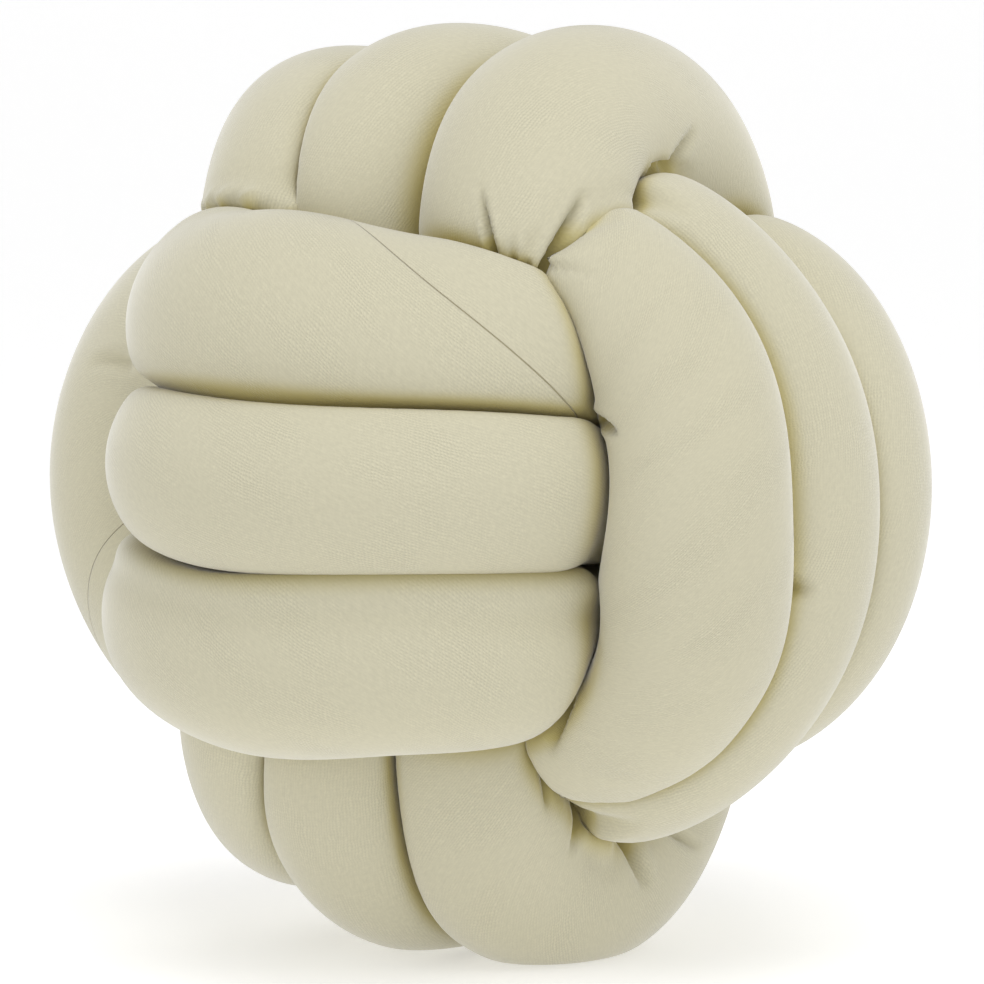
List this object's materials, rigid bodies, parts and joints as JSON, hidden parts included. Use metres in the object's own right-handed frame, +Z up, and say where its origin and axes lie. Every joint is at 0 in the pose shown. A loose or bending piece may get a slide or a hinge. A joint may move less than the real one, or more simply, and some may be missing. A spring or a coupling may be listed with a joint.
{
  "type": "knot cushion",
  "caption": "Ball-shaped scatter cushion: one stuffed jersey tube wound and tucked into a round knot, resting on a small flat spot.",
  "frame": {"origin": "on the level of the flat spot, under the middle of the cushion's bounding box", "axes": "+Z up; the coil whose lobes lie level faces -Y, the upright coil's lobes face +X and -X, and the third coil's lobes are on top and underneath"},
  "size_m": [0.2876, 0.2938, 0.2931],
  "materials": {
    "jersey": "matt fine-rib cotton jersey, warm cream"
  },
  "bodies": {
    "root": {"knot_cushion": "jersey"}
  },
  "joints": []
}
